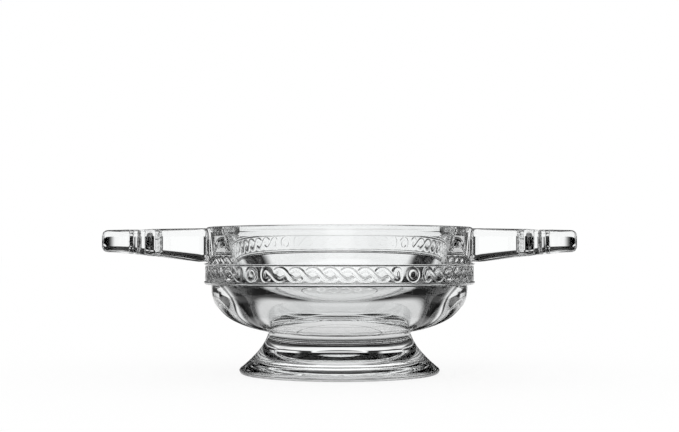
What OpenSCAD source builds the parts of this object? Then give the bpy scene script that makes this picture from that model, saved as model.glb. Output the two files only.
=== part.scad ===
// Quaich: a shallow two-handled drinking bowl in clear pressed glass.
// The bowl stands on a low spreading foot. A band round the outside carries
// two-strand knotwork and ring studs, and two flat lugs reach out from the collar.
// The axis is Z, the foot rests on Z = 0, and the lugs lie along X.

/* [Bowl] */
// Outer radius of the plain collar below the rim
collar_r = 42; // [38:0.5:46]
// Height of the collar, from the band to the rim
collar_h = 11.2; // [9:0.1:14]
// Glass thickness at the rim
rim_wall = 5.2; // [4:0.1:7]
// Rounding of the rim's two edges
rim_round = 0.5; // [0.3:0.1:1]
// Height of the belly, from the foot to the band
belly_h = 14.95; // [13:0.05:18]
// Squareness of the belly's curve, where 2 is an ellipse
belly_power = 2.6; // [2:0.1:3]

/* [Drinking hollow] */
// Depth of the upright lip inside the rim
lip_h = 2.4; // [1:0.1:4]
// Height of the sloping wall under the lip
wall_h = 11.6; // [8:0.1:14]
// Lean of the sloping wall from the upright, in degrees
wall_lean = 13.2; // [8:0.1:18]
// Glass thickness between the hollow's floor and the foot
floor_t = 5.7; // [4.5:0.1:8]
// How strongly the floor's curve holds to the line of the wall
wall_pull = 12; // [6:0.5:13]
// How strongly the floor's curve holds to the level of the floor
floor_pull = 22; // [12:0.5:26]

/* [Band] */
// Height of the band
band_h = 6.75; // [6:0.25:8]
// Depth that the band is let in under the collar
band_let = 1.5; // [1:0.1:3]
// How far the ground of the band stands out from the collar
ground_out = 0.2; // [0.1:0.05:0.5]
// How far the border lines and the knotwork stand out from the ground
relief = 0.6; // [0.3:0.05:1]
// Width of the border line along the top of the band
top_line = 0.6; // [0.4:0.05:1]
// Width of the border line along the bottom of the band
low_line = 0.9; // [0.6:0.05:1.2]

/* [Knotwork] */
// Width of one strand
strand_w = 1.8; // [1.2:0.1:2.2]
// Distance between crossings, before it is evened out over a panel
crossing_pitch = 5; // [4.4:0.1:6]
// Gap between the knotwork and the border lines
knot_gap = 0.1; // [0.05:0.05:0.3]
// Gap where a strand goes under another
weave_gap = 0.25; // [0.15:0.05:0.5]
// Gap between a stud and the end of a knot
stud_gap = 1; // [0.5:0.1:2.5]
// Turn of the whole pattern about the axis, in degrees
pattern_turn = -3.6; // [-10:0.1:10]

/* [Ring studs] */
// Outer radius of a ring stud
stud_r = 2.4; // [1.6:0.1:2.4]
// Radius of the eye in a ring stud
eye_r = 1; // [0.6:0.1:1.2]
// Angle of the studs on each side of front and back, in degrees
stud_angle = 34; // [28:1:42]

/* [Lugs] */
// Length of the broad part next to the collar
root_len = 14.3; // [12:0.1:18]
// Length of the shoulder that narrows to the waist
shoulder_len = 4.4; // [3:0.1:6]
// Length of the waist
waist_len = 2.7; // [1.5:0.1:4]
// Length of the flare that widens to the tip
flare_len = 2.1; // [1.5:0.1:4]
// Length of the tip
tip_len = 9.5; // [8:0.1:12]
// Width of the broad part
root_w = 31; // [28:0.5:34]
// Radius of the sweep between the broad part and the collar
root_round = 6.5; // [4:0.5:8]
// Width of the waist
waist_w = 19; // [14:0.5:22]
// Width of the tip
tip_w = 25; // [23:0.5:28]
// Radius of the tip's two corners
tip_round = 4; // [2:0.25:6]
// Radius of the curve that ends the tip
end_r = 28; // [20:1:60]
// Thickness of the tip
tip_t = 6.8; // [5:0.1:8]
// Fall of the lug's top from collar to tip
lug_fall = 0.5; // [0:0.1:1.5]
// Gap between the underside of the lug and the band
lug_gap = 0.4; // [0.2:0.1:1]

/* [Foot] */
// Height of the foot
foot_h = 13.1; // [11:0.1:16]
// Radius of the neck, where the bowl sits on the foot
neck_r = 22.6; // [18:0.2:26]
// Largest radius of the foot
foot_r = 31.6; // [30:0.2:36]
// Thickness of the rounded base edge
base_t = 2; // [1.6:0.1:4]
// Sweep of the flare, where 1 is a straight cone
flare_power = 1.6; // [1:0.05:2]
// Radius of the recess under the foot, inside the ring that it rests on
recess_r = 14.6; // [10:0.2:20]
// Depth of the recess under the foot
recess_h = 0.8; // [0.4:0.1:2]
// Radius of the dimple in the middle of the recess
dimple_r = 6; // [3:0.5:9]
// Depth of the dimple
dimple_h = 0.3; // [0.1:0.1:1]

/* [Hidden] */
$fn = 240;

// Levels above the floor
band_z = foot_h + belly_h;
collar_z = band_z + band_h;
rim_z = collar_z + collar_h;
wall_z = rim_z - lip_h - wall_h;
hollow_floor_z = foot_h + floor_t;

// Radii of the bowl and the band
seat_r = collar_r - band_let;
mouth_r = collar_r - rim_wall;
hollow_r = mouth_r - wall_h * tan(wall_lean);
ground_r = collar_r + ground_out;
line_r = ground_r + relief;

// Depth of the whole curve that passes through the neck
belly_depth = belly_h / pow(1 - pow(neck_r / seat_r, belly_power), 1 / belly_power);
belly_end = acos(pow(neck_r / seat_r, belly_power / 2));
curve_steps = 16;

// Middle and swing of the strands, and the length of the loop that closes a knot
knot_z = band_z + (low_line + band_h - top_line) / 2;
swing = (band_h - low_line - top_line - strand_w) / 2 - knot_gap;
strand_top = 0.55;
steps_per_crossing = 4;
loop_steps = 10;

// Half a panel's length along the ground, from its middle to a stud
front_half = stud_angle * PI / 180 * ground_r;
side_half = (90 - stud_angle) * PI / 180 * ground_r;

// Levels and stations of the lug
lug_top = rim_z - rim_round;
lug_low = collar_z + lug_gap;
shoulder_x = collar_r + root_len;
waist_x = shoulder_x + shoulder_len;
flare_x = waist_x + waist_len;
tip_x = flare_x + flare_len;
lug_end = tip_x + tip_len;
lug_inset = 12;
underside_power = 1.4;
ease_steps = 8;

// Middle of the sweep at the root. It cuts in a little behind the collar, so it has no feather edge
sweep_let = 0.15;
sweep_y = root_w / 2 + root_round;
sweep_x = sqrt(pow(collar_r + root_round - sweep_let, 2) - pow(sweep_y, 2));
sweep_turn = atan2(sweep_y, sweep_x);

// Middle of the end's curve, and middle of the corner that meets it
end_x = lug_end - end_r;
corner_y = tip_w / 2 - tip_round;
corner_x = end_x + sqrt(pow(end_r - tip_round, 2) - pow(corner_y, 2));
corner_turn = atan2(corner_y, corner_x - end_x);

// Circle of the base edge, and the angle where the flare meets it
edge_r = base_t / 2;
edge_x = foot_r - edge_r;
edge_start = 50;

// Arc of a circle round [x, y], from angle a0 to angle a1
function arc(x, y, r, a0, a1, n) =
    [for (i = [0 : n]) [x + r * cos(a0 + (a1 - a0) * i / n), y + r * sin(a0 + (a1 - a0) * i / n)]];

// Smooth step from a to b as u goes from 0 to 1
function ease(a, b, u) = a + (b - a) * (1 - cos(180 * u)) / 2;

// Outside of the belly, from the band down to the neck
function belly_curve() =
    [for (i = [0 : curve_steps])
        let (t = belly_end * i / curve_steps)
        [seat_r * pow(cos(t), 2 / belly_power), band_z - belly_depth * pow(sin(t), 2 / belly_power)]];

// Point at u, from 0 to 1, on the cubic curve that the points a, b, c and d draw
function cubic(a, b, c, d, u) =
    a * pow(1 - u, 3) + 3 * b * pow(1 - u, 2) * u + 3 * c * (1 - u) * u * u + d * pow(u, 3);

// Inside of the bowl below the sloping wall, from the axis up to the wall
function floor_curve() =
    let (
        start = [hollow_r, wall_z],
        along_wall = start - wall_pull * [sin(wall_lean), cos(wall_lean)]
    )
    [for (i = [curve_steps : -1 : 0])
        cubic(start, along_wall, [floor_pull, hollow_floor_z], [0, hollow_floor_z], i / curve_steps)];

module bowl() {
    color("aliceblue")
    rotate_extrude()
    polygon(concat(
        floor_curve(),
        [[mouth_r, rim_z - lip_h]],
        arc(mouth_r + rim_round, rim_z - rim_round, rim_round, 180, 90, 4),
        arc(collar_r - rim_round, rim_z - rim_round, rim_round, 90, 0, 4),
        [[collar_r, collar_z], [seat_r, collar_z]],
        belly_curve(),
        [[0, foot_h]]
    ));
}

// Ring under the collar, with a border line along each edge
module girdle() {
    color("lightcyan")
    rotate_extrude()
    polygon(concat(
        [[seat_r, band_z], [seat_r, collar_z], [line_r, collar_z], [line_r, collar_z - top_line],
         [ground_r, collar_z - top_line], [ground_r, band_z + low_line]],
        arc(line_r - low_line, band_z + low_line, low_line, 0, -90, 6)
    ));
}

// Loop that closes a knot, from its own crossing and back, as [along, up]
function loop_point(crossing, loop, side, turn) =
    [crossing + side * loop * sin(turn / 2), -side * swing * sin(turn)];

// Middle line of the strand that goes over crossing k, as points [along, up]
function strand_path(k, count, first, pitch) =
    let (
        at = first + k * pitch,
        loop = 2 * pitch / PI,
        cut = (strand_w / 2 + weave_gap) / pitch,
        turn_end = 360 - 360 * cut,
        left = k == 0
            ? [for (i = [loop_steps : -1 : 1]) loop_point(at, loop, -1, turn_end * i / loop_steps)]
            : [for (i = [steps_per_crossing : -1 : 1])
                let (u = (1 - cut) * i / steps_per_crossing) [at - u * pitch, swing * sin(180 * u)]],
        right = k == count - 1
            ? [for (i = [1 : loop_steps]) loop_point(at, loop, 1, turn_end * i / loop_steps)]
            : [for (i = [1 : steps_per_crossing])
                let (u = (1 - cut) * i / steps_per_crossing) [at + u * pitch, -swing * sin(180 * u)]]
    )
    concat(left, [[at, 0]], right);

// A point of the band, [along, up] at radius r, in space
function on_band(p, middle, r) =
    let (a = middle + p[0] / ground_r * 180 / PI) [r * cos(a), r * sin(a), knot_z + p[1]];

// The four corners of a strand at point i of its path
function strand_corners(path, i, middle) =
    let (
        last = len(path) - 1,
        run = path[min(i + 1, last)] - path[max(i - 1, 0)],
        across = [-run[1], run[0]] / norm(run) * strand_w / 2
    )
    [on_band(path[i] + across, middle, ground_r),
     on_band(path[i] + across * strand_top, middle, line_r),
     on_band(path[i] - across * strand_top, middle, line_r),
     on_band(path[i] - across, middle, ground_r)];

// Triangles of one strand of n rings whose first corner has number first
function strand_faces(n, first) = concat(
    [for (i = [0 : n - 2], j = [0 : 3])
        let (a = first + 4 * i + j, b = first + 4 * i + (j + 1) % 4)
        each [[a, b, a + 4], [b, b + 4, a + 4]]],
    [[first, first + 2, first + 1], [first, first + 3, first + 2]],
    let (e = first + 4 * (n - 1)) [[e, e + 1, e + 2], [e, e + 2, e + 3]]
);

// Middle lines of every strand in a panel of the given half length
function panel_paths(half) =
    let (
        room = 2 * (half - stud_r - stud_gap - strand_w / 2),
        count = round(room / crossing_pitch - 4 / PI) + 1,
        pitch = room / (count - 1 + 4 / PI),
        first = -(count - 1) * pitch / 2
    )
    [for (k = [0 : count - 1]) strand_path(k, count, first, pitch)];

// Sum of the first n values of a list
function total(list, n) = n <= 0 ? 0 : list[n - 1] + total(list, n - 1);

module knot(middle, half) {
    paths = panel_paths(half);
    rings = [for (p = paths) len(p)];
    corners = [for (p = paths, i = [0 : len(p) - 1]) each strand_corners(p, i, middle)];
    faces = [for (k = [0 : len(paths) - 1]) each strand_faces(rings[k], 4 * total(rings, k))];
    polyhedron(corners, faces);
}

// Raised strands on the ground of the band, in four panels between the studs
module interlace() {
    color("white")
    for (quarter = [0 : 3])
        knot(-90 + pattern_turn + 90 * quarter, quarter % 2 == 0 ? front_half : side_half);
}

// One raised ring on the ground of the band, at an angle round the axis
module ring_stud(angle) {
    difference() {
        rotate([0, 90, angle])
        translate([-knot_z, 0, seat_r])
        difference() {
            cylinder(r = stud_r, h = line_r - seat_r);
            cylinder(r = eye_r, h = 3 * line_r, center = true);
        }
        cylinder(r = ground_r, h = rim_z);
    }
}

module ring_studs() {
    color("lavender")
    for (middle = [-90, 90], side = [-1, 1])
        ring_stud(middle + side * stud_angle + pattern_turn);
}

// Half of the lug's plan, from the collar out to the end, as points [x, half width]
function lug_plan() = concat(
    [[collar_r - lug_inset, root_w / 2]],
    arc(sweep_x, sweep_y, root_round, 180 + sweep_turn, 270, ease_steps),
    [for (i = [0 : ease_steps]) let (u = i / ease_steps)
        [shoulder_x + u * shoulder_len, ease(root_w, waist_w, u) / 2]],
    [for (i = [0 : ease_steps]) let (u = i / ease_steps)
        [flare_x + u * flare_len, ease(waist_w, tip_w, u) / 2]],
    arc(corner_x, corner_y, tip_round, 90, corner_turn, 6),
    [for (i = [1 : ease_steps]) let (t = corner_turn * (1 - i / ease_steps))
        [end_x + end_r * cos(t), end_r * sin(t)]]
);

// Side of the lug, as points [x, z]
function lug_side() = concat(
    [[collar_r - lug_inset, lug_low], [collar_r - lug_inset, lug_top], [collar_r, lug_top],
     [lug_end, lug_top - lug_fall]],
    [for (i = [ease_steps : -1 : 0])
        let (u = i / ease_steps, rise = lug_top - lug_fall - tip_t - lug_low)
        [collar_r + u * (lug_end - collar_r), lug_low + rise * (1 - pow(1 - u, underside_power))]]
);

// Flat handle: its plan and its side meet, and the collar's curve is cut from its root
module lug() {
    plan = lug_plan();
    difference() {
        intersection() {
            linear_extrude(rim_z)
            polygon(concat(plan, [for (i = [len(plan) - 2 : -1 : 0]) [plan[i][0], -plan[i][1]]]));
            translate([0, root_w, 0])
            rotate([90, 0, 0])
            linear_extrude(2 * root_w)
            polygon(lug_side());
        }
        cylinder(r = collar_r, h = rim_z);
    }
}

module left_lug() {
    color("azure")
    rotate([0, 0, 180])
    lug();
}

module right_lug() {
    color("azure")
    lug();
}

// Spreading foot with a rounded base edge, and a shallow recess with a dimple underneath
module foot() {
    edge_top = [edge_x + edge_r * cos(edge_start), edge_r + edge_r * sin(edge_start)];
    color("ghostwhite")
    rotate_extrude()
    polygon(concat(
        [[0, foot_h]],
        [for (i = [0 : curve_steps - 1])
            let (u = i / curve_steps)
            [neck_r + (edge_top[0] - neck_r) * pow(u, flare_power), foot_h + (edge_top[1] - foot_h) * u]],
        arc(edge_x, edge_r, edge_r, edge_start, -90, 12),
        arc(recess_r - recess_h, 0, recess_h, 0, 90, 4),
        [for (i = [0 : ease_steps])
            let (u = 1 - i / ease_steps) [dimple_r * u, recess_h + dimple_h * (1 - u * u)]]
    ));
}

bowl();
girdle();
interlace();
ring_studs();
left_lug();
right_lug();
foot();
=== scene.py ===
# %% [markdown]
# # A pressed-glass quaich
# A quaich is a shallow drinking bowl that is passed from hand to hand by its two flat lugs. This one is
# clear glass, pressed hot into a mould, so the bowl, the ornamented band, the lugs and the foot are one
# run of glass. Here each of them is its own mesh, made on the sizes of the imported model, and the faces
# where two pieces meet get an invisible finish, because no seam can be seen in the real glass.
#
# Glass shows almost nothing of itself. It shows bent pictures of what stands round it, so the curves
# have to be smooth and finely divided, and the light and the dark in the room matter as much as the
# shape does.

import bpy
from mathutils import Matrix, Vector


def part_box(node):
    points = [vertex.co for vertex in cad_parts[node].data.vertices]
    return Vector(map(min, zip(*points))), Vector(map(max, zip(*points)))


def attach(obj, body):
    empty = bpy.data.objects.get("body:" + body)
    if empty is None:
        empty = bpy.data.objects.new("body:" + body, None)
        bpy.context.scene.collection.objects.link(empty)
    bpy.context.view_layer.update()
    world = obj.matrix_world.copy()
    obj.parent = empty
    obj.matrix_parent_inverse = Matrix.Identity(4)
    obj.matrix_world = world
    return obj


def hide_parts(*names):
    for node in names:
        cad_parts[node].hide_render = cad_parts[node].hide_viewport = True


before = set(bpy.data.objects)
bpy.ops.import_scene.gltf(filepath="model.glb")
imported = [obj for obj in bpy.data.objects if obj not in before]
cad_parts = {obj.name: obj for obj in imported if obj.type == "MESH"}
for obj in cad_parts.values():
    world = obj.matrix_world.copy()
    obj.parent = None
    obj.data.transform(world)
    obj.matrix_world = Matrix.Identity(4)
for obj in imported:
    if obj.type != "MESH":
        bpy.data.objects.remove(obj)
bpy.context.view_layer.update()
print("nodes:", sorted(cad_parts))

# %% Modules and units
import math

import bmesh
import bpy
from mathutils import Matrix, Vector
from mathutils.kdtree import KDTree

MM = 0.001

# %% [markdown]
# ## Sizes
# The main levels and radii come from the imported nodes, so the looks stay on the part when a size
# changes. All sizes below are in millimetres, and the bowl's axis is Z.

# %% Levels and radii from the frame
bowl_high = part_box("bowl")[1] / MM
girdle_low, girdle_high = (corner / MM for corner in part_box("girdle"))
lug_low_corner, lug_high_corner = (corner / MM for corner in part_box("right_lug"))
foot_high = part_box("foot")[1] / MM

collar_r = bowl_high.x
rim_z = bowl_high.z
band_z = girdle_low.z
collar_z = girdle_high.z
line_r = girdle_high.x
foot_z = foot_high.z
foot_r = foot_high.x
lug_end = lug_high_corner.x
lug_top = lug_high_corner.z
lug_low = lug_low_corner.z
print("collar", round(collar_r, 2), "rim", round(rim_z, 2), "lug end", round(lug_end, 2))

# %% [markdown]
# ## Camera
# The photograph was taken almost level with the rim, from nearly three times the width across the lugs
# away. A long lens keeps the two lugs nearly in profile.

# %% Camera
CAMERA_BACK = 420
CAMERA_UP = 37
CAMERA_TILT = 1.73
LENS = 70.1
SENSOR_W = 36
CLIP_START = 10

camera = bpy.data.objects.new("camera", bpy.data.cameras.new("camera"))
camera.data.lens = LENS
camera.data.sensor_width = SENSOR_W
camera.data.clip_start = CLIP_START * MM
camera.location = (0, -CAMERA_BACK * MM, CAMERA_UP * MM)
camera.rotation_euler = (math.radians(90 + CAMERA_TILT), 0, 0)
bpy.context.scene.collection.objects.link(camera)
bpy.context.scene.camera = camera
print("camera", CAMERA_BACK, "mm away")

# %% [markdown]
# ## Outlines
# Bowl, band and foot are round, so each starts as an outline of radius and height that is spun about
# the axis, as a mould is turned on a lathe. Three helpers draw the curves of an outline, and a fourth
# divides its long straight runs. Smooth shading bends the normals between vertices, and on a long face
# that would bend the light in glass as well, so no face is left long.

# %% Curves of an outline
LONGEST = 0.8


def arc(x, z, r, start, end, n):
    """Points on a circle round (x, z), between two angles in degrees."""
    turns = [math.radians(start + (end - start) * i / n) for i in range(n + 1)]
    return [(x + r * math.cos(t), z + r * math.sin(t)) for t in turns]


def squared_curve(r, top, depth, power, end, n):
    """Points on a squared ellipse, from (r, top) downwards to the given angle in degrees."""
    points = []
    for i in range(n + 1):
        t = math.radians(end * i / n)
        across = max(0.0, math.cos(t)) ** (2 / power)
        points.append((r * across, top - depth * math.sin(t) ** (2 / power)))
    return points


def cubic_curve(a, b, c, d, n):
    """Points on the cubic curve that leaves a towards b and comes to d from c."""
    points = []
    for i in range(n + 1):
        u = i / n
        parts = ((1 - u) ** 3, 3 * (1 - u) ** 2 * u, 3 * (1 - u) * u * u, u ** 3)
        points.append(tuple(sum(k * p[axis] for k, p in zip(parts, (a, b, c, d))) for axis in (0, 1)))
    return points


def divided(points, longest=LONGEST):
    """The same outline with every straight run cut into pieces no longer than this."""
    fine = [points[0]]
    for a, b in zip(points, points[1:]):
        n = max(1, math.ceil(math.dist(a, b) / longest))
        fine += [(a[0] + (b[0] - a[0]) * i / n, a[1] + (b[1] - a[1]) * i / n) for i in range(1, n + 1)]
    return fine


# %% Spin and finish
TURN_STEPS = 400
SHARP_ANGLE = math.radians(40)
JOINT_ANGLE = math.radians(3)
WELD = 0.0005
CLOSE = 0.005
GLASS, JOINT = 0, 1


def turned(outline, steps=TURN_STEPS, ring=False):
    """An outline spun round the axis. A ring's outline also joins its end to its start.

    Spinning gets slow as the mesh grows, so an eighth is spun, and copies of it double up to the whole.
    """
    bm = bmesh.new()
    verts = [bm.verts.new((r * MM, 0, z * MM)) for r, z in outline]
    pairs = list(zip(verts, verts[1:]))
    if ring:
        pairs.append((verts[-1], verts[0]))
    edges = [bm.edges.new(pair) for pair in pairs]
    bmesh.ops.spin(bm, geom=verts + edges, cent=(0, 0, 0), axis=(0, 0, 1), dvec=(0, 0, 0),
                   angle=math.pi / 4, steps=steps // 8)
    for eighths in (1, 2, 4):
        copy = bmesh.ops.duplicate(bm, geom=bm.verts[:] + bm.edges[:] + bm.faces[:])["geom"]
        bmesh.ops.rotate(bm, verts=[g for g in copy if isinstance(g, bmesh.types.BMVert)], cent=(0, 0, 0),
                         matrix=Matrix.Rotation(eighths * math.pi / 4, 3, "Z"))
    bmesh.ops.remove_doubles(bm, verts=bm.verts, dist=WELD * MM)
    return bm


def finished(bm, name, is_joint, sharp=SHARP_ANGLE):
    """The bmesh as an object: faces that meet another piece marked, smooth faces, sharp corners."""
    bmesh.ops.recalc_face_normals(bm, faces=bm.faces)
    for face in bm.faces:
        face.smooth = True
        face.material_index = JOINT if is_joint(face.calc_center_median() / MM) else GLASS
    for edge in bm.edges:
        if len(edge.link_faces) == 2:
            a, b = edge.link_faces
            limit = sharp if a.material_index == b.material_index else JOINT_ANGLE
            edge.smooth = edge.calc_face_angle() < limit
    open_edges = sum(len(edge.link_faces) != 2 for edge in bm.edges)
    mesh = bpy.data.meshes.new(name)
    bm.to_mesh(mesh)
    bm.free()
    piece = bpy.data.objects.new(name, mesh)
    bpy.context.scene.collection.objects.link(piece)
    print(name, len(mesh.polygons), "faces,", open_edges, "open edges")
    return piece


def near(a, b):
    """True if two sizes agree to a few microns."""
    return abs(a - b) < CLOSE


# %% [markdown]
# ## Bowl
# The bowl is thick: a plain upright collar outside, a hollow with sloping walls and a rounded floor
# inside. The hollow works as a lens, and its shape decides where the grey and black lines fall, so its
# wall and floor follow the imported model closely. The edges of the rim are softened, as flame polishing
# leaves them.

# %% Bowl outline
MOUTH_R = 36.8
RIM_ROUND = 0.5
LIP_H = 2.4
WALL_H = 11.6
WALL_LEAN = math.radians(13.2)
HOLLOW_FLOOR_Z = 18.8
WALL_PULL = 12
FLOOR_PULL = 22
SEAT_R = 40.5
NECK_R = 22.6
BELLY_POWER = 2.6
CURVE_STEPS = 56
RIM_STEPS = 6

belly_h = band_z - foot_z
belly_depth = belly_h / (1 - (NECK_R / SEAT_R) ** BELLY_POWER) ** (1 / BELLY_POWER)
belly_end = math.degrees(math.acos((NECK_R / SEAT_R) ** (BELLY_POWER / 2)))

wall_end = (MOUTH_R - WALL_H * math.tan(WALL_LEAN), rim_z - LIP_H - WALL_H)
along_wall = (wall_end[0] - WALL_PULL * math.sin(WALL_LEAN),
              wall_end[1] - WALL_PULL * math.cos(WALL_LEAN))
hollow_floor = cubic_curve(wall_end, along_wall, (FLOOR_PULL, HOLLOW_FLOOR_Z), (0, HOLLOW_FLOOR_Z),
                           CURVE_STEPS)
hollow_wall = [(MOUTH_R, rim_z - LIP_H), wall_end]
rim = (arc(collar_r - RIM_ROUND, rim_z - RIM_ROUND, RIM_ROUND, 0, 90, RIM_STEPS)
       + arc(MOUTH_R + RIM_ROUND, rim_z - RIM_ROUND, RIM_ROUND, 90, 180, RIM_STEPS))
belly = squared_curve(SEAT_R, band_z, belly_depth, BELLY_POWER, belly_end, CURVE_STEPS)

# %% Bowl rows that the lugs share
LUG_ROWS = 20
ROOT_STEPS = 28
lug_rows = [lug_low + (lug_top - lug_low) * i / LUG_ROWS for i in range(LUG_ROWS + 1)]
collar = [(collar_r, collar_z)] + [(collar_r, z) for z in lug_rows]
root_angle = math.radians(360 / TURN_STEPS * ROOT_STEPS)

bowl_outline = ([(0, foot_z)] + belly[::-1] + [(SEAT_R, collar_z)] + collar
                + divided(rim + hollow_wall + hollow_floor[1:]))
print("bowl outline:", len(bowl_outline), "points")

# %% Bowl
def bowl_joint(p):
    """The bowl meets the foot below, the girdle under the collar and the lugs on the collar."""
    r = math.hypot(p.x, p.y)
    on_foot = near(p.z, foot_z) and r < NECK_R
    on_girdle = band_z < p.z < collar_z + CLOSE and SEAT_R - CLOSE < r < collar_r - CLOSE
    turn = abs(math.atan2(p.y, abs(p.x)))
    on_lug = lug_low < p.z < lug_top and r > collar_r - CLOSE and turn < root_angle
    return on_foot or on_girdle or on_lug


bowl = finished(turned(bowl_outline), "glass_bowl", bowl_joint)

# %% [markdown]
# ## Foot
# The foot flares from the neck in a hollow sweep to a thin rounded edge. A cone with a bevelled edge
# would come close, but its straight side would show in the outline, so the sweep is a power curve.
# Underneath, the middle is pressed in a little, with a shallow dimple at the axis, so the foot stands on
# a broad flat ring.

# %% Foot
BASE_T = 2
EDGE_START = 50
FLARE_POWER = 1.6
RECESS_R = 14.6
RECESS_H = 0.8
DIMPLE_R = 6
DIMPLE_H = 0.3
EDGE_STEPS = 32
RECESS_STEPS = 16

edge_r = BASE_T / 2
edge_x = foot_r - edge_r
base_edge = arc(edge_x, edge_r, edge_r, EDGE_START, -90, EDGE_STEPS)
flare_w = base_edge[0][0] - NECK_R
flare_h = base_edge[0][1] - foot_z
flare = [(NECK_R + flare_w * (i / CURVE_STEPS) ** FLARE_POWER, foot_z + flare_h * i / CURVE_STEPS)
         for i in range(CURVE_STEPS)]
recess = arc(RECESS_R - RECESS_H, 0, RECESS_H, 0, 90, RECESS_STEPS)
inward = [1 - i / RECESS_STEPS for i in range(RECESS_STEPS + 1)]
dimple = [(DIMPLE_R * u, RECESS_H + DIMPLE_H * (1 - u ** 2)) for u in inward]
foot_outline = [(0, foot_z)] + flare + divided(base_edge + recess + dimple)


def foot_joint(p):
    """The foot meets the bowl in one flat disc."""
    return near(p.z, foot_z) and math.hypot(p.x, p.y) < NECK_R


foot = finished(turned(foot_outline), "glass_foot", foot_joint)

# %% [markdown]
# ## Knotwork band
# The band carries two strands that twist round each other between ring studs, with a raised line
# above and below. The lines stand out by about half a millimetre, and the strands and studs by less, but
# in clear glass every slope shows, so the relief is real geometry and not bump. A finely divided ring is
# spun, and then each vertex of its outer face is pushed out by the height of the ornament there.
#
# The strands are drawn as rows of points on the unrolled band. A point also has a lift, which sinks to
# nothing where the strand dives under the next one, and DIVE_END and DIVE_RUN say over which shares of
# a strand's width. A vertex takes the highest strand within reach.

# %% Strands on the unrolled band
TOP_LINE = 0.6
LOW_LINE = 0.9
LINE_SIDE = 0.3
RELIEF = 0.6
STRAND_W = 1.8
STRAND_H = 0.2
FLAT_TOP = 0.4
DIVE_END = 0.45
DIVE_RUN = 0.5
CROSSING_PITCH = 5
LOOP_REACH = 2 / math.pi
KNOT_GAP = 0.1
STUD_R = 2.4
STUD_H = 0.2
EYE_R = 1
STUD_GAP = 1
STUD_ANGLE = 34
PATTERN_TURN = -3.6
PATH_STEPS = 40

ground_r = line_r - RELIEF
knot_z = (band_z + LOW_LINE + collar_z - TOP_LINE) / 2
swing = (collar_z - band_z - LOW_LINE - TOP_LINE - STRAND_W) / 2 - KNOT_GAP


def strand_points(pitch, count, k):
    """The strand over crossing k: (along, up, lift), from where it dives to where it dives again."""
    at = (k - (count - 1) / 2) * pitch
    loop = LOOP_REACH * pitch
    points = []
    for i in range(-PATH_STEPS, PATH_STEPS + 1):
        u = abs(i) / PATH_STEPS
        side = 1 if i > 0 else -1
        closes = (k == 0 and side < 0) or (k == count - 1 and side > 0)
        if closes:
            along, up = loop * math.sin(math.pi * u), swing * math.sin(2 * math.pi * u)
            to_end = 2 * pitch * (1 - u)
        else:
            along, up = pitch * u, swing * math.sin(math.pi * u)
            to_end = math.hypot(pitch * (1 - u), up)
        lift = min(1.0, max(0.0, (to_end / STRAND_W - DIVE_END) / DIVE_RUN))
        points.append((at + side * along, -side * up, lift * lift * (3 - 2 * lift)))
    return points


def panel_points(half):
    """All strand points of a panel between two studs, given half the panel's length."""
    length = 2 * (half - STUD_R - STUD_GAP - STRAND_W / 2)
    count = round(length / CROSSING_PITCH - 2 * LOOP_REACH) + 1
    pitch = length / (count - 1 + 2 * LOOP_REACH)
    return [p for k in range(count) for p in strand_points(pitch, count, k)]


front_half = math.radians(STUD_ANGLE) * ground_r
side_half = math.radians(90 - STUD_ANGLE) * ground_r
print("front panel:", len(panel_points(front_half)), "points")

# %% Panels of knotwork
def smooth_step(low, high, x):
    """0 below low, 1 above high, with an easy curve between."""
    u = min(1.0, max(0.0, (x - low) / (high - low)))
    return u * u * (3 - 2 * u)


class Panel:
    """One panel of knotwork, with its points in a tree that finds those near a place."""

    def __init__(self, half):
        self.points = panel_points(half)
        self.tree = KDTree(len(self.points))
        for i, (along, up, _) in enumerate(self.points):
            self.tree.insert((along, up, 0), i)
        self.tree.balance()

    def height(self, along, up):
        """Height of the highest strand that reaches this place, from 0 to 1."""
        best = 0.0
        for _, i, apart in self.tree.find_range((along, up, 0), STRAND_W / 2):
            across = 2 * apart / STRAND_W
            best = max(best, self.points[i][2] * smooth_step(1.0, FLAT_TOP, across))
        return best


front_panel = Panel(front_half)
side_panel = Panel(side_half)

# %% Ornament and border lines
def stud_height(along, up):
    """Height of a ring stud, from its own middle: a round ring with an open eye."""
    middle = (STUD_R + EYE_R) / 2
    across = (math.hypot(along, up) - middle) / (STUD_R - middle)
    return smooth_step(1.0, FLAT_TOP, abs(across))


def ornament(angle, up):
    """Height of knotwork and studs at an angle in degrees from the front, in mm."""
    quarter = round((angle - PATTERN_TURN) / 90)
    turn = angle - PATTERN_TURN - 90 * quarter
    on_front = quarter % 2 == 0
    stud_turn = STUD_ANGLE if on_front else 90 - STUD_ANGLE
    to_stud = math.radians(abs(turn) - stud_turn) * ground_r
    if abs(turn) > stud_turn:
        panel = side_panel if on_front else front_panel
        along = math.radians(turn - math.copysign(90, turn)) * ground_r
    else:
        panel = front_panel if on_front else side_panel
        along = math.radians(turn) * ground_r
    return max(STUD_H * stud_height(to_stud, up), STRAND_H * panel.height(along, up))


def border(z):
    """How far the border lines stand out from the ground of the band, in mm."""
    if z < band_z + LOW_LINE:
        drop = band_z + LOW_LINE - z
        return RELIEF - LOW_LINE + math.sqrt(max(0.0, LOW_LINE ** 2 - drop ** 2))
    low = 1 - smooth_step(0.0, LINE_SIDE, z - band_z - LOW_LINE)
    high = smooth_step(0.0, LINE_SIDE, z - collar_z + TOP_LINE + LINE_SIDE / 2)
    return RELIEF * max(low, high)


print("lower line stands out", round(border(band_z + LOW_LINE), 2), "mm")

# %% Girdle
GIRDLE_STEPS = 4 * TURN_STEPS
BAND_ROWS = 40
SEAT_LONGEST = 3.5
RELIEF_ANGLE = math.radians(75)

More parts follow.
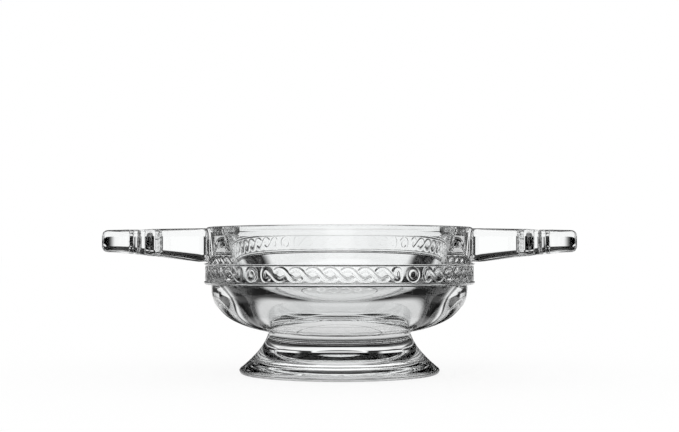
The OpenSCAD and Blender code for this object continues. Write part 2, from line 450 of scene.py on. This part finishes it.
band_rows = [collar_z + (band_z - collar_z) * i / BAND_ROWS for i in range(BAND_ROWS + 1)]
girdle_outline = (divided([(SEAT_R, band_z), (SEAT_R, collar_z)], SEAT_LONGEST) + [(collar_r, collar_z)]
                  + [(ground_r, z) for z in band_rows])
band = turned(girdle_outline, GIRDLE_STEPS, ring=True)
for vert in band.verts:
    r = math.hypot(vert.co.x, vert.co.y)
    if r > (ground_r - CLOSE) * MM:
        z = vert.co.z / MM
        angle = math.degrees(math.atan2(vert.co.y, vert.co.x)) + 90
        out = max(border(z), ornament(angle, z - knot_z))
        vert.co.xy *= (ground_r + out) * MM / r


def girdle_joint(p):
    """The girdle meets the bowl's seat inside and its collar above."""
    r = math.hypot(p.x, p.y)
    return r < SEAT_R + CLOSE or (near(p.z, collar_z) and r < collar_r)


girdle = finished(band, "glass_girdle", girdle_joint, RELIEF_ANGLE)

# %% [markdown]
# ## Lugs
# Each lug is a flat plate that leaves the collar level with the rim, narrows to a waist and widens
# again to a rounded tip. It could be cut from a block, but then its rounded edges would be hard to keep
# even. So a curved patch that lies on the collar is extruded outwards in small steps, and each new step
# is set to the section that the lug has there.

# %% Lug sizes
ROOT_LEN = 14.3
SHOULDER_LEN = 4.4
WAIST_LEN = 2.7
FLARE_LEN = 2.1
ROOT_W = 31
ROOT_ROUND = 6.5
SWEEP_LET = 0.15
WAIST_W = 19
TIP_W = 25
TIP_ROUND = 4
END_R = 28
TIP_T = 6.8
LUG_FALL = 0.5
UNDERSIDE_POWER = 1.4
EDGE_ROUND = 1.8

shoulder_x = collar_r + ROOT_LEN
waist_x = shoulder_x + SHOULDER_LEN
flare_x = waist_x + WAIST_LEN
tip_x = flare_x + FLARE_LEN
root_x = collar_r * math.cos(root_angle)
sweep_y = ROOT_W / 2 + ROOT_ROUND
sweep_x = math.sqrt((collar_r + ROOT_ROUND - SWEEP_LET) ** 2 - sweep_y ** 2)
print("lug waist from", round(waist_x, 2), "to", round(flare_x, 2))

# %% Lug outline
def ease(a, b, u):
    """Smooth step from a to b as u goes from 0 to 1."""
    u = min(1.0, max(0.0, u))
    return a + (b - a) * (1 - math.cos(math.pi * u)) / 2


def half_width(x):
    """Half the lug's width at a distance from the axis."""
    if x < sweep_x:
        return sweep_y - math.sqrt(ROOT_ROUND ** 2 - (sweep_x - x) ** 2)
    if x < flare_x:
        return ease(ROOT_W, WAIST_W, (x - shoulder_x) / SHOULDER_LEN) / 2
    over = max(0.0, x - (lug_end - TIP_ROUND))
    rounding = TIP_ROUND - math.sqrt(max(0.0, TIP_ROUND ** 2 - over ** 2))
    return ease(WAIST_W, TIP_W, (x - flare_x) / FLARE_LEN) / 2 - rounding


def top_and_low(x):
    """The levels of the lug's top and underside at a distance from the axis."""
    u = max(0.0, (x - collar_r) / (lug_end - collar_r))
    rise = lug_top - LUG_FALL - TIP_T - lug_low
    over = max(0.0, x - (lug_end - EDGE_ROUND))
    rounding = EDGE_ROUND - math.sqrt(max(0.0, EDGE_ROUND ** 2 - over ** 2))
    low = lug_low + rise * (1 - (1 - u) ** UNDERSIDE_POWER)
    return lug_top - LUG_FALL * u - rounding, low + rounding


print("lug width at the waist:", 2 * half_width(waist_x))

# %% Lug sections
ROOT_BLEND = 5
CORNER_COLUMNS = 6


def spread(i, n, half, corner):
    """Place of grid line i of n across a section, with the outer lines close together."""
    inner = half - corner
    if i <= CORNER_COLUMNS:
        return -inner - corner * (1 - i / CORNER_COLUMNS)
    if i >= n - CORNER_COLUMNS:
        return inner + corner * (1 - (n - i) / CORNER_COLUMNS)
    return -inner + 2 * inner * (i - CORNER_COLUMNS) / (n - 2 * CORNER_COLUMNS)


def rounded(y, z, half_y, half_z, corner):
    """A point of a square-cornered section moved so that the section's corners are round."""
    dy = max(0.0, abs(y) - (half_y - corner))
    dz = max(0.0, abs(z) - (half_z - corner))
    if dy == 0 or dz == 0:
        return y, z
    pull = max(dy, dz) / math.hypot(dy, dz)
    y = math.copysign(half_y - corner + dy * pull, y)
    return y, math.copysign(half_z - corner + dz * pull, z)


def lug_point(column, row, t):
    """Place of a grid vertex of the lug, from the collar at t = 0 to the end at t = 1."""
    turn = root_angle * (column / ROOT_STEPS - 1)
    root = Vector((collar_r * math.cos(turn), collar_r * math.sin(turn), lug_rows[row]))
    x = root_x + (lug_end - root_x) * t
    top, low = top_and_low(x)
    half_y, half_z = half_width(x), (top - low) / 2
    y, z = rounded(spread(column, 2 * ROOT_STEPS, half_y, EDGE_ROUND),
                   spread(row, LUG_ROWS, half_z, EDGE_ROUND), half_y, half_z, EDGE_ROUND)
    bow = smooth_step(flare_x, lug_end - TIP_ROUND, x) * (END_R - math.sqrt(END_R ** 2 - y * y))
    along = x + (root.x - root_x) * (1 - t) - bow
    at_root = Vector((along, root.y * half_y / half_width(root_x), root.z))
    return at_root.lerp(Vector((along, y, (top + low) / 2 + z)), ease(0, 1, (x - root_x) / ROOT_BLEND))


# %% Lug stations
SWEEP_STEPS = 24
PLATE_STEPS = 16
SHOULDER_STEPS = 24
WAIST_STEPS = 8
FLARE_STEPS = 18
TIP_STEPS = 10
END_STEPS = 22


def lug_stations():
    """Steps along the lug, from 0 to 1, fine where the outline turns quickly."""
    end_x = lug_end - TIP_ROUND
    runs = [(root_x, sweep_x, SWEEP_STEPS), (sweep_x, shoulder_x, PLATE_STEPS),
            (shoulder_x, waist_x, SHOULDER_STEPS), (waist_x, flare_x, WAIST_STEPS),
            (flare_x, tip_x, FLARE_STEPS), (tip_x, end_x, TIP_STEPS)]
    xs = [a + (b - a) * i / n for a, b, n in runs for i in range(n)]
    quarter = [math.pi / 2 * i / END_STEPS for i in range(END_STEPS + 1)]
    xs += [end_x + TIP_ROUND * math.sin(angle) for angle in quarter]
    return [(x - root_x) / (lug_end - root_x) for x in xs[1:]]


print("lug stations:", len(lug_stations()))

# %% Lugs
def place_lug(verts, t):
    """Sets vertices of the lug's grid to their places at t, from the collar at 0 to the end at 1."""
    for vert, column, row in verts:
        vert.co = lug_point(column, row, t) * MM


def lug(name, side):
    """A lug on the given side of the bowl: 1 for the right, -1 for the left."""
    bm = bmesh.new()
    bmesh.ops.create_grid(bm, x_segments=2 * ROOT_STEPS, y_segments=LUG_ROWS, size=1)
    column = bm.verts.layers.int.new("column")
    row = bm.verts.layers.int.new("row")
    for vert in bm.verts:
        vert[column] = round((vert.co.x + 1) * ROOT_STEPS)
        vert[row] = round((vert.co.y + 1) * LUG_ROWS / 2)
    end = bmesh.ops.duplicate(bm, geom=bm.faces[:])["geom"]
    end_verts = [g for g in end if isinstance(g, bmesh.types.BMVert)]
    root_verts = [v for v in bm.verts if v not in set(end_verts)]
    place_lug([(v, v[column], v[row]) for v in root_verts], 0)
    place_lug([(v, v[column], v[row]) for v in end_verts], 1)
    loop = [e for e in bm.edges if e.is_boundary and e.verts[0] in set(root_verts)]
    for t in lug_stations():
        made = bmesh.ops.extrude_edge_only(bm, edges=loop)["geom"]
        loop = [g for g in made if isinstance(g, bmesh.types.BMEdge)]
        place_lug([(v, v[column], v[row]) for v in made if isinstance(v, bmesh.types.BMVert)], t)
    bmesh.ops.remove_doubles(bm, verts=bm.verts, dist=WELD * MM)
    if side < 0:
        bmesh.ops.scale(bm, verts=bm.verts, vec=(-1, 1, 1))

    def lug_joint(p):
        """The lug meets the collar."""
        return math.hypot(p.x, p.y) < collar_r + CLOSE

    return finished(bm, name, lug_joint)


left_lug = lug("glass_left_lug", -1)
right_lug = lug("glass_right_lug", 1)

# %% [markdown]
# ## Glass
# Soda-lime glass, pressed and flame-polished: clear, with an index of about 1.52. The mould leaves a
# faint slow waviness that a cut surface would not have, and years of use leave a fine haze of scratches
# where the foot stands. Colours are written as sRGB hex values and turned to the linear values that
# Blender works in.

# %% Colours and nodes
def srgb(code):
    """A hex colour as linear red, green, blue and alpha."""
    parts = [int(code[i:i + 2], 16) / 255 for i in (0, 2, 4)]
    return (*(c / 12.92 if c <= 0.04045 else ((c + 0.055) / 1.055) ** 2.4 for c in parts), 1.0)


def add(tree, kind, inputs=None, **settings):
    """Adds a node with its settings. An input is a value, or an output to link from."""
    node = tree.nodes.new(kind)
    for name, value in settings.items():
        setattr(node, name, value)
    for socket, value in (inputs or {}).items():
        if isinstance(value, bpy.types.NodeSocket):
            tree.links.new(value, node.inputs[socket])
        else:
            node.inputs[socket].default_value = value
    return node


def new_tree(owner):
    """The owner's node tree, emptied."""
    owner.use_nodes = True
    owner.node_tree.nodes.clear()
    return owner.node_tree


# %% Pressed glass
GLASS_IOR = 1.52
GLASS_TINT = srgb("FDFEFE")
WAVE = 14
WAVE_STRENGTH = 0.02
SCRATCH = 0.6
SCRATCH_FROM, SCRATCH_TO = 0.7, 1.3
GROUND_ROUGH = 0.01
GROUND_FROM, GROUND_TO = 0.02, 0.1


def pressed_glass():
    """Clear soda-lime glass: slow mould waviness all over, and a ground ring where it stands."""
    material = bpy.data.materials.new("pressed_soda_lime_glass")
    tree = new_tree(material)
    place = add(tree, "ShaderNodeTexCoord").outputs["Object"]
    height = add(tree, "ShaderNodeSeparateXYZ", {"Vector": place}).outputs["Z"]
    wave = add(tree, "ShaderNodeTexNoise", {"Vector": place, "Scale": 1 / (WAVE * MM), "Detail": 1.0})
    bump = add(tree, "ShaderNodeBump", {
        "Height": wave.outputs["Fac"], "Strength": WAVE_STRENGTH, "Distance": MM})
    ground = add(tree, "ShaderNodeMapRange", {
        "Value": height, "From Min": GROUND_FROM * MM, "From Max": GROUND_TO * MM,
        "To Min": GROUND_ROUGH, "To Max": 0.0})
    scratch = add(tree, "ShaderNodeTexNoise", {"Vector": place, "Scale": 1 / (SCRATCH * MM), "Detail": 4.0})
    uneven = add(tree, "ShaderNodeMapRange", {
        "Value": scratch.outputs["Fac"], "To Min": SCRATCH_FROM, "To Max": SCRATCH_TO})
    haze = add(tree, "ShaderNodeMath", {0: ground.outputs["Result"], 1: uneven.outputs["Result"]},
               operation="MULTIPLY")
    shader = add(tree, "ShaderNodeBsdfPrincipled", {
        "Base Color": GLASS_TINT, "Roughness": haze.outputs["Value"], "IOR": GLASS_IOR,
        "Transmission Weight": 1.0, "Normal": bump.outputs["Normal"]})
    add(tree, "ShaderNodeOutputMaterial", {"Surface": shader.outputs["BSDF"]})
    return material


# %% Fused joint
def fused_joint():
    """Glass that has run together: no light turns at the joint, so nothing of it shows."""
    material = bpy.data.materials.new("fused_glass_joint")
    tree = new_tree(material)
    shader = add(tree, "ShaderNodeBsdfPrincipled", {
        "Alpha": 0.0, "IOR": GLASS_IOR, "Transmission Weight": 1.0})
    add(tree, "ShaderNodeOutputMaterial", {"Surface": shader.outputs["BSDF"]})
    return material


# %% Dress the pieces
glass = pressed_glass()
joint = fused_joint()
stands_for = {
    bowl: ("clear_glass", ["bowl"]),
    girdle: ("band_glass", ["girdle", "interlace", "ring_studs"]),
    left_lug: ("clear_glass", ["left_lug"]),
    right_lug: ("clear_glass", ["right_lug"]),
    foot: ("clear_glass", ["foot"]),
}
for piece, (slot, nodes) in stands_for.items():
    piece.data.materials.append(glass)
    piece.data.materials.append(joint)
    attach(piece, "root")
    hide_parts(*nodes)
print("dressed", len(stands_for), "pieces")

# %% [markdown]
# ## Studio
# Clear glass in an all-white room is almost invisible. A photographer sets a few lit white panels round
# it and leaves the rest black, so that every edge of the glass bends some black into view. The panels
# could be lit planes, but planes have hard edges and stand in the way of other views. So they are soft
# patches of light on the world: a low strip straight behind, a pair of panels hung beside it, a panel at
# each end and a light above. The same panels stand in front, so the back reads as well as the front.
#
# The foot and the belly show the table through the glass. The table's light and shade are painted on it
# as a glow: a painted pool of light under the foot, where the clear foot lets light down, a painted
# shadow in a ring round that, where the bowl overhangs, lit again further out, and painted shade in a
# dark slit in each quarter.
#
# What the camera sees directly stays white. Only light that has met the glass sees the panels and the
# table's painted light and shade.

# %% Soft patches of light
WHITE = srgb("FFFFFF")


def together(tree, operation, *patches):
    """Patches taken together: MAXIMUM keeps the brightest, and MULTIPLY lets each dim the others."""
    total = patches[0]
    for patch in patches[1:]:
        total = add(tree, "ShaderNodeMath", {0: total, 1: patch}, operation=operation).outputs[0]
    return total


def soft_patch(tree, *edges, dark=0.0, full=1.0):
    """The brightness of a patch, from dark outside its edges to full inside them.

    An edge is a value and a pair of limits: the patch starts at the first and is full at the second.
    """
    inside = [add(tree, "ShaderNodeMapRange", {"Value": value, "From Min": starts, "From Max": fills},
                  interpolation_type="SMOOTHSTEP").outputs["Result"] for value, (starts, fills) in edges]
    share = together(tree, "MULTIPLY", *inside)
    return add(tree, "ShaderNodeMapRange", {"Value": share, "To Min": dark, "To Max": full}).outputs["Result"]


def quarter(tree, vector):
    """A vector folded into one quarter: how far aside, how far away, and its turn in degrees."""
    folded = add(tree, "ShaderNodeVectorMath", {0: vector}, operation="ABSOLUTE").outputs["Vector"]
    xyz = add(tree, "ShaderNodeSeparateXYZ", {"Vector": folded})
    aside, away = xyz.outputs["X"], xyz.outputs["Y"]
    turn = add(tree, "ShaderNodeMath", {0: aside, 1: away}, operation="ARCTAN2").outputs[0]
    return aside, away, add(tree, "ShaderNodeMath", {0: turn}, operation="DEGREES").outputs[0]


# %% [markdown]
# ### Room
# A direction in the room has a turn, its angle away from straight ahead or straight behind, and a rise
# above the table. Both are in degrees, and each panel is a patch with edges in one or both of them.

# %% Room
STRIP_TURN = (14, 8)
STRIP_RISE = (1.6, 1.0)
HUNG_INNER = (17, 21)
HUNG_OUTER = (45, 36)
END_TURN = (58, 70)
HUNG_LOW = (1.6, 2.4)
HUNG_TOP = (6.5, 5)
LIGHT_RISE = (46, 54)
LIGHT = 1.2


def room():
    """A world that is white to the camera, with panels and a light above for the glass to show."""
    world = bpy.data.worlds.new("studio")
    tree = new_tree(world)
    direction = add(tree, "ShaderNodeTexCoord").outputs["Generated"]
    height = add(tree, "ShaderNodeSeparateXYZ", {"Vector": direction}).outputs["Z"]
    slope = add(tree, "ShaderNodeMath", {0: height}, operation="ARCSINE").outputs[0]
    rise = add(tree, "ShaderNodeMath", {0: slope}, operation="DEGREES").outputs[0]
    _, _, turn = quarter(tree, direction)
    strip = soft_patch(tree, (turn, STRIP_TURN), (rise, STRIP_RISE))
    hung = soft_patch(tree, (turn, HUNG_INNER), (turn, HUNG_OUTER), (rise, HUNG_LOW), (rise, HUNG_TOP))
    ends = soft_patch(tree, (turn, END_TURN), (rise, HUNG_LOW), (rise, HUNG_TOP))
    above = soft_patch(tree, (rise, LIGHT_RISE), full=LIGHT)
    panels = together(tree, "MAXIMUM", strip, hung, ends, above)
    path = add(tree, "ShaderNodeLightPath")
    bent = together(tree, "MAXIMUM", path.outputs["Is Glossy Ray"], path.outputs["Is Transmission Ray"])
    seen = add(tree, "ShaderNodeMix", {0: bent, 2: 1.0, 3: panels}).outputs[0]
    back = add(tree, "ShaderNodeBackground", {"Color": WHITE, "Strength": seen})
    add(tree, "ShaderNodeOutputWorld", {"Surface": back.outputs[0]})
    bpy.context.scene.world = world
    return world


print("room:", len(room().node_tree.nodes), "nodes")

# %% [markdown]
# ### Table
# A place on the table has a turn as well, and distances in millimetres from the axis. Light and shade
# are painted on the table: a lit lane runs from front to back, the sides of the table are a little
# dimmer, and the painted shadow ring round the foot is wider towards the corners.

# %% Painted table light and shade
# Painted pool of light under the foot: its glow, its radius and its stretch across.
CAUSTIC_GLOW = 0.74
CAUSTIC_R = (31, 26)
CAUSTIC_STRETCH = 1.4
# Painted shadow ring round the foot, ahead and towards the corners.
SHADOW_RING_R = (40, 62)
CORNER_SHADOW_RING_R = (66, 88)
CORNER_TURN = (14, 24)
# Painted shade: a dark slit in each quarter, near the foot.
SLIT_NEAR = (20, 25)
SLIT_FAR = (42, 36)
SLIT_R = (110, 140)
TABLE_X = (150, 125)
TABLE_Y = (320, 250)
SIDE_TURN = (72, 60)
SIDE_TABLE = 0.7
LANE_TURN = (30, 18)
BESIDE_LANE = 0.1
DARK_TABLE = 0.01


def painted_table_light(tree):
    """The painted light and shade on each place of the table, as light that the glass has bent sees it."""
    metres = add(tree, "ShaderNodeTexCoord").outputs["Object"]
    place, squeezed = (add(tree, "ShaderNodeVectorMath", {0: metres, 1: unit}, operation="DIVIDE").outputs[0]
                       for unit in ((MM, MM, MM), (CAUSTIC_STRETCH * MM, MM, MM)))
    radius, oval = (add(tree, "ShaderNodeVectorMath", {0: spot}, operation="LENGTH").outputs["Value"]
                    for spot in (place, squeezed))
    aside, away, turn = quarter(tree, place)
    # Painted pool of light under the foot, standing for light that comes down through the clear glass.
    under = soft_patch(tree, (oval, CAUSTIC_R), dark=DARK_TABLE, full=CAUSTIC_GLOW)
    # Painted light: a lit rectangle and a lit lane on the table, with dimmer sides.
    side = soft_patch(tree, (turn, SIDE_TURN), dark=SIDE_TABLE)
    top = together(tree, "MULTIPLY", soft_patch(tree, (aside, TABLE_X), (away, TABLE_Y)), side)
    lane = soft_patch(tree, (turn, LANE_TURN), dark=BESIDE_LANE)
    corner = soft_patch(tree, (turn, CORNER_TURN))
    # Painted shadow ring round the foot, wider towards the corners.
    ring = [soft_patch(tree, (corner, (0, 1)), dark=ahead, full=askew)
            for ahead, askew in zip(SHADOW_RING_R, CORNER_SHADOW_RING_R)]
    # Painted shade: dark slits in the quarters, within SLIT_R of the axis.
    slit = soft_patch(tree, (turn, SLIT_NEAR), (turn, SLIT_FAR), dark=1.0, full=0.0)
    past_slit = together(tree, "MAXIMUM", slit, soft_patch(tree, (radius, SLIT_R)))
    lit = together(tree, "MAXIMUM", top, lane)
    lit = together(tree, "MULTIPLY", lit, soft_patch(tree, (radius, ring)), past_slit)
    return together(tree, "MAXIMUM", under, lit)


# %% Floor
FLOOR_SIZE = 20000
FLOOR_GAP = 0.05
SHADOW = 0.15


def floor_paint():
    """White to the camera, with a faint shadow. Through the glass it shows the light and shade painted on the
    table as a glow.
    """
    material = bpy.data.materials.new("white_table")
    tree = new_tree(material)
    # The glow is painted light and shade on the table, seen only through the glass.
    glow = add(tree, "ShaderNodeEmission", {"Color": WHITE, "Strength": painted_table_light(tree)})
    white = add(tree, "ShaderNodeEmission", {"Color": WHITE})
    matt = add(tree, "ShaderNodeBsdfDiffuse", {"Color": WHITE})
    direct = add(tree, "ShaderNodeMixShader", {0: SHADOW, 1: white.outputs[0], 2: matt.outputs[0]})
    path = add(tree, "ShaderNodeLightPath")
    surface = add(tree, "ShaderNodeMixShader", {0: path.outputs["Is Camera Ray"], 1: glow.outputs[0],
                                                2: direct.outputs[0]})
    add(tree, "ShaderNodeOutputMaterial", {"Surface": surface.outputs[0]})
    return material


def white_floor():
    """A floor that runs out to a white horizon, a hair below the foot so that no faces coincide."""
    bm = bmesh.new()
    bmesh.ops.create_grid(bm, x_segments=1, y_segments=1, size=FLOOR_SIZE / 2 * MM)
    bmesh.ops.translate(bm, verts=bm.verts, vec=(0, 0, -FLOOR_GAP * MM))
    mesh = bpy.data.meshes.new("floor")
    bm.to_mesh(mesh)
    bm.free()
    mesh.materials.append(floor_paint())
    floor = bpy.data.objects.new("floor", mesh)
    bpy.context.scene.collection.objects.link(floor)
    return floor


floor = white_floor()
print("floor:", FLOOR_SIZE, "mm wide")

# %% View
scene = bpy.context.scene
scene.view_settings.view_transform = "Standard"
scene.cycles.max_bounces = 24
scene.cycles.transmission_bounces = 24
scene.cycles.glossy_bounces = 12
scene.cycles.transparent_max_bounces = 32
print("light may bend", scene.cycles.transmission_bounces, "times")
